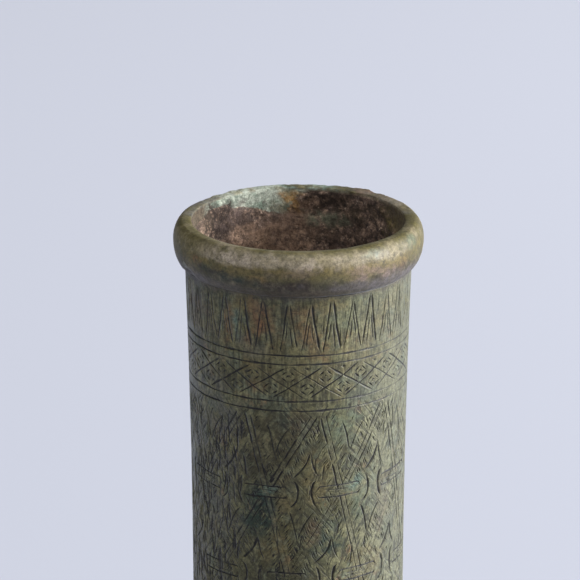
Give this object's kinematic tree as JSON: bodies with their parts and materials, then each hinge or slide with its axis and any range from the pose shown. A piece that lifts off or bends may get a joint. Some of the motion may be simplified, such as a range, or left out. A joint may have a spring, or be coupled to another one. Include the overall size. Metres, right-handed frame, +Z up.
{
  "type": "pitch pot",
  "caption": "Cast bronze pitch pot: tall straight engraved neck with a thick rounded lip, flattened round hollow belly and splayed foot ring.",
  "frame": {"origin": "middle of the foot ring's underside, on the surface that the pot stands on", "axes": "+Z up along the pot's turning axis; -Y is the side that faces the viewer, +X is to the viewer's right"},
  "size_m": [0.1698, 0.1698, 0.278],
  "materials": {
    "bronze": "aged olive-brown patina with verdigris and earth crust, half dull"
  },
  "bodies": {
    "root": {"pitch_pot": "bronze"}
  },
  "joints": []
}
